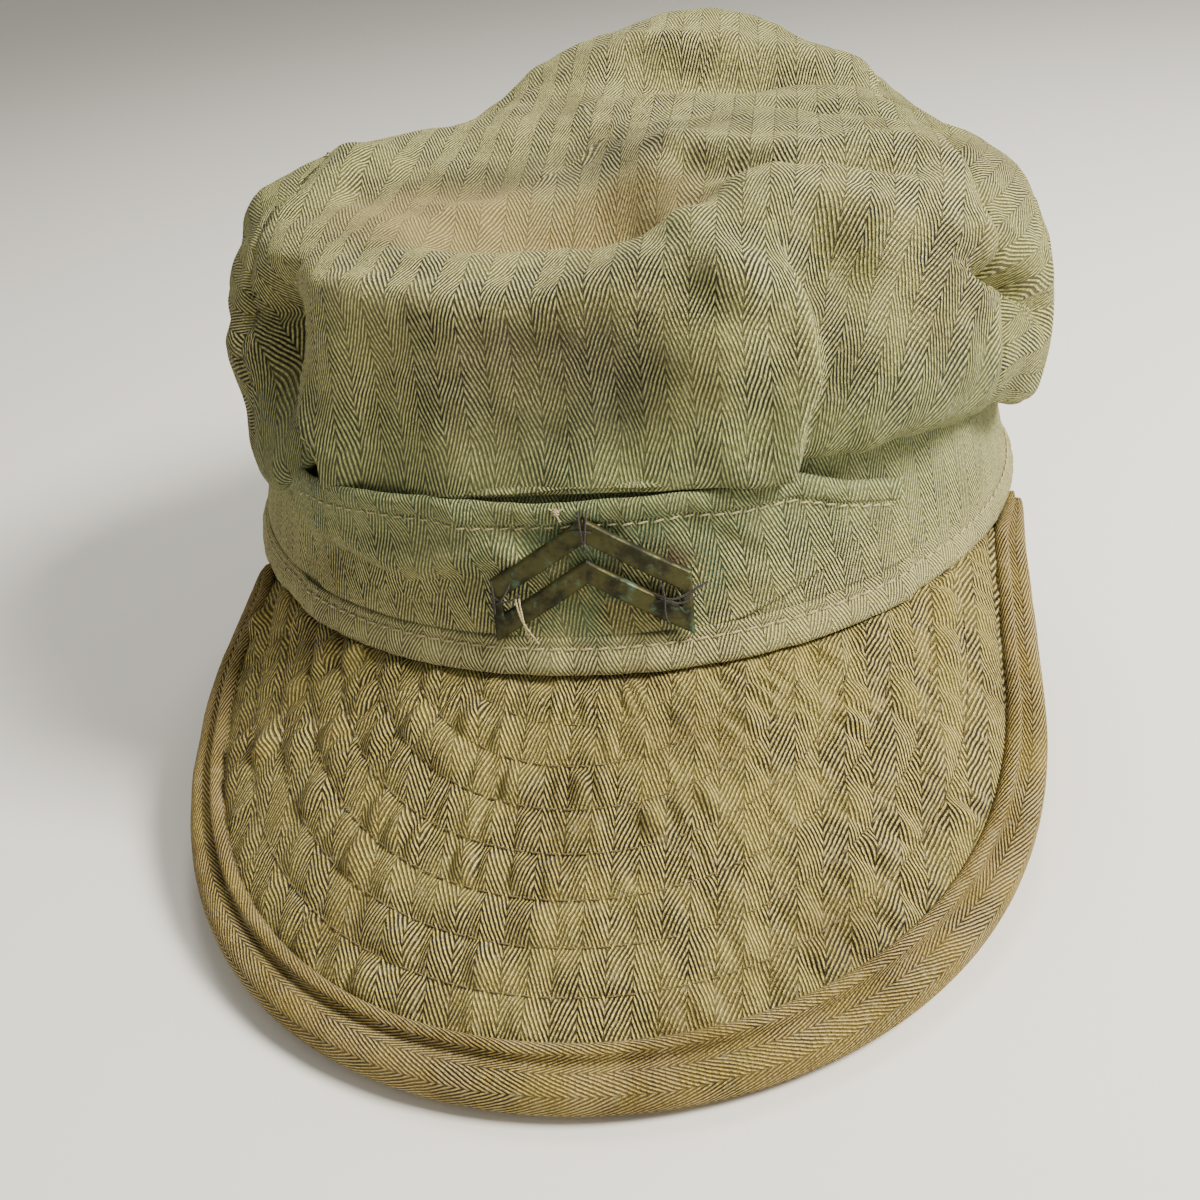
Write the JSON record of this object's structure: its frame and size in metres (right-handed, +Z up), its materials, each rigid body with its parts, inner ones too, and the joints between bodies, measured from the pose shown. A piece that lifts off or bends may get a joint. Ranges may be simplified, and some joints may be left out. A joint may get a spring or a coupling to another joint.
{
  "type": "utility cap",
  "caption": "Field utility cap in herringbone twill: soft panelled crown, band with flat front pocket and chevron badge, and a long quilted visor that flexes.",
  "frame": {"origin": "centre of the head opening, in the plane of the hem's lower edge", "axes": "+Z up out of the crown, -Y forwards along the visor, +X towards the wearer's left"},
  "size_m": [0.1934, 0.2611, 0.1387],
  "materials": {
    "crown_cloth": "herringbone twill, faded grey olive",
    "band_cloth": "herringbone twill, faded green olive",
    "visor_cloth": "herringbone twill, sun-bleached tan olive",
    "binding_cloth": "bias-cut twill, worn tan",
    "lining_cloth": "plain cotton, khaki",
    "stiffening": "stiff cotton canvas, unbleached",
    "olive_thread": "cotton sewing thread, faded olive",
    "cream_thread": "cotton thread, cream",
    "black_thread": "waxed thread, black",
    "badge_metal": "aged brass, dark olive with green tarnish"
  },
  "bodies": {
    "cap": {"crown_centre_panel": "crown_cloth", "crown_left_panel": "crown_cloth", "crown_right_panel": "crown_cloth", "crown_left_seam": "crown_cloth", "crown_right_seam": "crown_cloth", "front_dart_left": "crown_cloth", "front_dart_right": "crown_cloth", "back_dart_left": "crown_cloth", "back_dart_right": "crown_cloth", "crown_seam_tape": "lining_cloth", "band_shell": "band_cloth", "band_back_seam": "band_cloth", "band_hem": "band_cloth", "band_hem_stitching": "olive_thread", "sweatband": "lining_cloth", "sweatband_stitching": "olive_thread", "pocket_panel": "band_cloth", "pocket_mouth_hem": "band_cloth", "pocket_mouth_stitching": "olive_thread", "pocket_tack": "cream_thread", "dart_knot_left": "cream_thread", "dart_knot_right": "cream_thread", "chevron_badge": "badge_metal", "badge_thread_point": "black_thread", "badge_thread_left": "black_thread", "badge_thread_right": "black_thread", "badge_repair_thread": "cream_thread"},
    "visor": {"visor_upper_cover": "visor_cloth", "visor_upper_ply": "stiffening", "visor_lower_ply": "stiffening", "visor_under_cover": "visor_cloth", "visor_binding": "binding_cloth", "visor_quilting": "olive_thread", "visor_binding_stitching": "olive_thread"}
  },
  "joints": [
    {"name": "visor_flex", "type": "hinge", "parent": "cap", "child": "visor", "pos_m": [0, -0.095, -0.002], "axis": [-1, 0, 0], "range_deg": [-6, 35], "stiffness_Nm_per_rad": 0.6}
  ]
}
